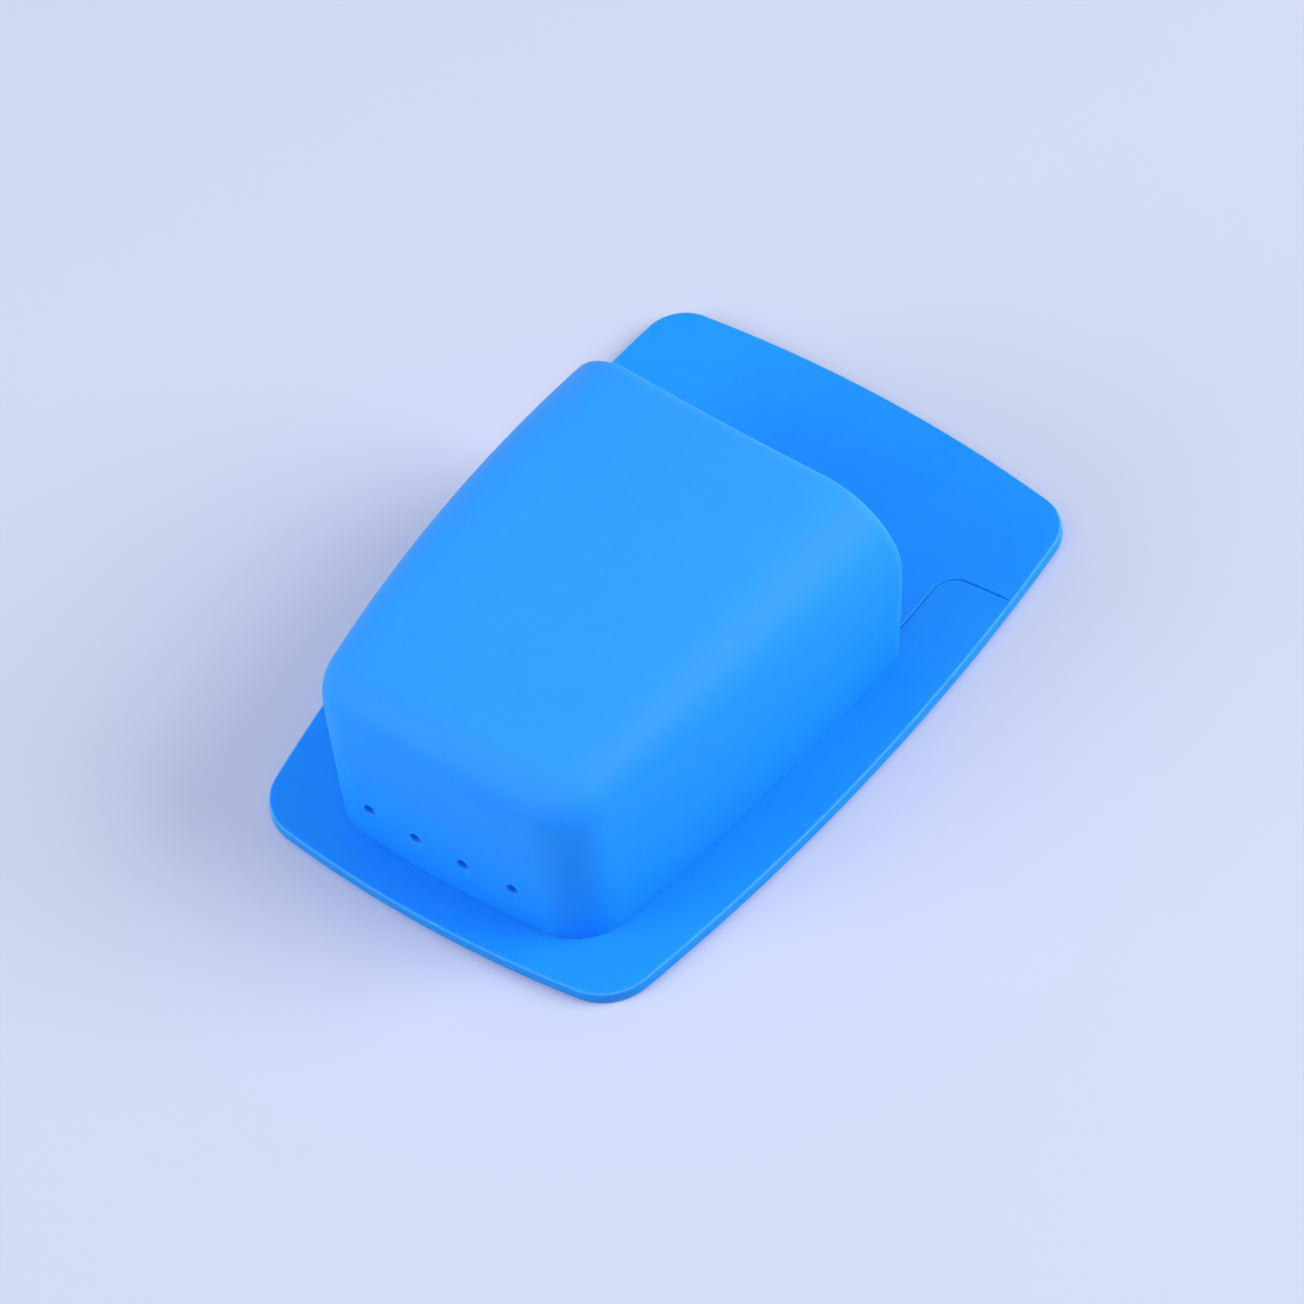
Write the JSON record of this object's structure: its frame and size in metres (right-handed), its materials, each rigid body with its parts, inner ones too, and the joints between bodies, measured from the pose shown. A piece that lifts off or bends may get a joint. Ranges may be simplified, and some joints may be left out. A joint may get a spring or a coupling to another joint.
{
  "type": "silicone pocket caddy",
  "caption": "Soft silicone wall pocket for soap, sponge or razor, lying on its flat back: domed pocket with drain holes, open at one end, on a flanged plate.",
  "frame": {"origin": "middle of the bounding box, on the flat back face that lies on the table or grips the wall", "axes": "+Z points out of the wall, away from the back face; +Y runs along the length, from the pocket's closed end to its open mouth; +X runs across the width"},
  "size_m": [0.112, 0.16, 0.0528],
  "materials": {
    "front_silicone": "matte moulded silicone with a soft satin sheen",
    "back_silicone": "matte moulded silicone with a soft satin sheen",
    "grip_silicone": "glossy tacky silicone"
  },
  "bodies": {
    "root": {"pocket_shell": "front_silicone", "back_plate": "back_silicone", "grip_sheet": "grip_silicone"}
  },
  "joints": []
}
